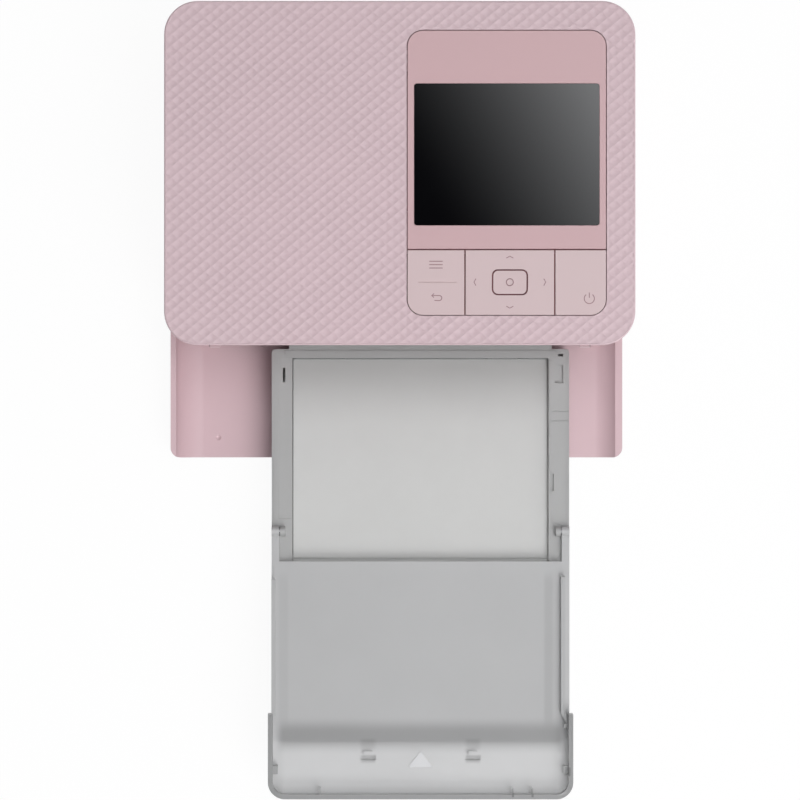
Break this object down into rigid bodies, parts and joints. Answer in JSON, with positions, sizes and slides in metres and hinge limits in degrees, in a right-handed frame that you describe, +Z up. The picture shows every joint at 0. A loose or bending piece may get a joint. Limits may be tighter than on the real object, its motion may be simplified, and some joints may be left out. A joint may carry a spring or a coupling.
{
  "type": "compact photo printer",
  "caption": "Compact desktop photo printer with tilting front cover, keypad and screen on top, and an inserted paper cassette whose outer cover is folded back.",
  "frame": {"origin": "middle of the footprint of the printer with its cassette in, on the table under the feet", "axes": "+X to the right seen from the front, +Y from the cassette towards the back, +Z up"},
  "size_m": [0.1822, 0.3116, 0.0576],
  "materials": {
    "case_pink": "fine satin moulded plastic, dusty pink",
    "key_pink": "smooth satin plastic, slightly lighter pink",
    "screen": "dark glossy cover glass",
    "cassette_smoke": "translucent smoky grey plastic",
    "inner_white": "natural white gear plastic",
    "inner_dark": "black moulded plastic",
    "sheet_steel": "plated sheet steel",
    "heat_sink_alu": "bare extruded aluminium",
    "rubber_black": "matt black rubber",
    "board_green": "green solder mask",
    "ribbon_film": "thin dyed film"
  },
  "bodies": {
    "printer": {"base_case": "case_pink", "side_case": "case_pink", "top_cover": "case_pink", "front_panel": "case_pink", "cover_hinge_pins": "sheet_steel", "door_pins": "sheet_steel", "display_bezel": "case_pink", "display_glass": "screen", "lcd_module": "sheet_steel", "button_board": "board_green", "main_board": "board_green", "chassis_left": "sheet_steel", "chassis_right": "sheet_steel", "chassis_brace": "sheet_steel", "motor_bracket": "sheet_steel", "feed_motor": "sheet_steel", "ribbon_motor": "sheet_steel", "head_pivot_shaft": "sheet_steel", "ink_cassette_shell": "inner_white", "ink_ribbon": "ribbon_film", "lock_lever_pin": "sheet_steel", "dc_jack": "inner_dark", "usb_socket": "sheet_steel", "card_socket": "sheet_steel", "feet": "rubber_black", "case_screws": "sheet_steel"},
    "front_cover": {"front_cover": "case_pink"},
    "ink_door": {"ink_door": "case_pink"},
    "menu_key": {"menu_button": "key_pink"},
    "nav_gimbal": {"nav_pivot": "inner_dark"},
    "nav_key": {"nav_pad": "key_pink"},
    "ok_key": {"ok_button": "key_pink"},
    "power_key": {"power_button": "key_pink"},
    "capstan": {"capstan_roller": "sheet_steel"},
    "pinch": {"pinch_roller": "rubber_black"},
    "link": {"link_gear": "inner_white"},
    "platen": {"platen_roller": "rubber_black"},
    "rear_idler": {"idler_rear": "inner_white"},
    "front_idler": {"idler_front": "inner_white"},
    "pickup": {"pickup_roller": "rubber_black"},
    "feed_pinion": {"motor_pinion": "inner_white"},
    "head": {"thermal_head": "inner_dark", "heat_sink": "heat_sink_alu"},
    "ribbon_drive": {"ribbon_pinion": "inner_white"},
    "takeup": {"takeup_spindle": "inner_white", "takeup_spool": "inner_white"},
    "supply": {"supply_hub": "inner_white", "supply_spool": "inner_white"},
    "ink_lock": {"lock_lever": "inner_white"},
    "paper_cassette": {"cassette_tray": "cassette_smoke", "cassette_frame": "cassette_smoke", "outer_cover_pins": "sheet_steel", "paper_guide": "cassette_smoke"},
    "cassette_lid": {"inner_lid": "cassette_smoke"},
    "cassette_cover": {"outer_cover": "cassette_smoke"},
    "paper_lift": {"lift_plate": "sheet_steel"}
  },
  "joints": [
    {"name": "front_cover_hinge", "type": "hinge", "parent": "printer", "child": "front_cover", "pos_m": [0, 0.02595, 0.0046], "axis": [-1, 0, 0], "range_deg": [0, 3.5]},
    {"name": "ink_door_hinge", "type": "hinge", "parent": "printer", "child": "ink_door", "pos_m": [0.0882, 0.08525, 0.0182], "axis": [0, 1, 0], "range_deg": [0, 88]},
    {"name": "menu_key_rock", "type": "hinge", "parent": "printer", "child": "menu_key", "pos_m": [0.0141, 0.047, 0.0524], "axis": [1, 0, 0], "range_deg": [-1.2, 1.2], "stiffness_Nm_per_rad": 0.05},
    {"name": "nav_rock_sideways", "type": "hinge", "parent": "printer", "child": "nav_gimbal", "pos_m": [0.04255, 0.047, 0.0534], "axis": [0, 1, 0], "range_deg": [-1.2, 1.2], "stiffness_Nm_per_rad": 0.05},
    {"name": "nav_rock_lengthways", "type": "hinge", "parent": "nav_gimbal", "child": "nav_key", "pos_m": [0.04255, 0.047, 0.0546], "axis": [1, 0, 0], "range_deg": [-1.2, 1.2], "stiffness_Nm_per_rad": 0.05},
    {"name": "ok_press", "type": "slide", "parent": "printer", "child": "ok_key", "axis": [0, 0, -1], "range_m": [0, 0.0005], "stiffness_N_per_m": 120},
    {"name": "power_press", "type": "slide", "parent": "printer", "child": "power_key", "axis": [0, 0, -1], "range_m": [0, 0.0005], "stiffness_N_per_m": 120},
    {"name": "capstan_spin", "type": "hinge", "parent": "printer", "child": "capstan", "pos_m": [-0.0499, 0.12075, 0.0189], "axis": [1, 0, 0], "continuous": true},
    {"name": "pinch_spin", "type": "hinge", "parent": "printer", "child": "pinch", "pos_m": [-0.0499, 0.12075, 0.0259], "axis": [1, 0, 0], "continuous": true},
    {"name": "link_spin", "type": "hinge", "parent": "printer", "child": "link", "pos_m": [-0.0499, 0.10169, 0.02096], "axis": [1, 0, 0], "continuous": true},
    {"name": "platen_spin", "type": "hinge", "parent": "printer", "child": "platen", "pos_m": [-0.0499, 0.08475, 0.0159], "axis": [1, 0, 0], "continuous": true},
    {"name": "rear_idler_spin", "type": "hinge", "parent": "printer", "child": "rear_idler", "pos_m": [-0.0499, 0.06971, 0.0163], "axis": [1, 0, 0], "continuous": true},
    {"name": "front_idler_spin", "type": "hinge", "parent": "printer", "child": "front_idler", "pos_m": [-0.0499, 0.05805, 0.01936], "axis": [1, 0, 0], "continuous": true},
    {"name": "pickup_spin", "type": "hinge", "parent": "printer", "child": "pickup", "pos_m": [-0.0499, 0.04475, 0.0264], "axis": [1, 0, 0], "continuous": true},
    {"name": "feed_pinion_spin", "type": "hinge", "parent": "printer", "child": "feed_pinion", "pos_m": [-0.0499, 0.12903, 0.03323], "axis": [1, 0, 0], "continuous": true},
    {"name": "takeup_spin", "type": "hinge", "parent": "printer", "child": "takeup", "pos_m": [-0.0499, 0.10375, 0.034], "axis": [1, 0, 0], "continuous": true},
    {"name": "ribbon_drive_spin", "type": "hinge", "parent": "printer", "child": "ribbon_drive", "pos_m": [-0.0499, 0.09072, 0.04152], "axis": [1, 0, 0], "continuous": true},
    {"name": "supply_spin", "type": "hinge", "parent": "printer", "child": "supply", "pos_m": [-0.0499, 0.06575, 0.034], "axis": [1, 0, 0], "continuous": true},
    {"name": "head_lift", "type": "hinge", "parent": "printer", "child": "head", "pos_m": [0.0082, 0.12675, 0.044], "axis": [-1, 0, 0], "range_deg": [0, 3.5]},
    {"name": "ink_lock_turn", "type": "hinge", "parent": "printer", "child": "ink_lock", "pos_m": [0.085, 0.12025, 0.038], "axis": [1, 0, 0], "range_deg": [-25, 0]},
    {"name": "paper_cassette_slide", "type": "slide", "parent": "printer", "child": "paper_cassette", "axis": [0, -1, 0], "range_m": [0, 0.12]},
    {"name": "cassette_lid_hinge", "type": "hinge", "parent": "paper_cassette", "child": "cassette_lid", "pos_m": [0.0082, -0.06075, 0.017], "axis": [1, 0, 0], "range_deg": [0, 95]},
    {"name": "cassette_cover_hinge", "type": "hinge", "parent": "paper_cassette", "child": "cassette_cover", "pos_m": [0.0082, -0.05045, 0.0214], "axis": [1, 0, 0], "range_deg": [-135, 0]},
    {"name": "paper_lift_hinge", "type": "hinge", "parent": "paper_cassette", "child": "paper_lift", "pos_m": [0.0082, 0.00475, 0.0097], "axis": [1, 0, 0], "range_deg": [0, 4]}
  ],
  "couplings": [
    {"joint": "pinch_spin", "follows": "capstan_spin", "ratio": -0.83333},
    {"joint": "link_spin", "follows": "capstan_spin", "ratio": -1.2174},
    {"joint": "platen_spin", "follows": "capstan_spin", "ratio": 1.1667},
    {"joint": "rear_idler_spin", "follows": "capstan_spin", "ratio": -1.75},
    {"joint": "front_idler_spin", "follows": "capstan_spin", "ratio": 1.75},
    {"joint": "pickup_spin", "follows": "capstan_spin", "ratio": -1.1667},
    {"joint": "feed_pinion_spin", "follows": "capstan_spin", "ratio": -1.75},
    {"joint": "ribbon_drive_spin", "follows": "takeup_spin", "ratio": -1.5}
  ]
}
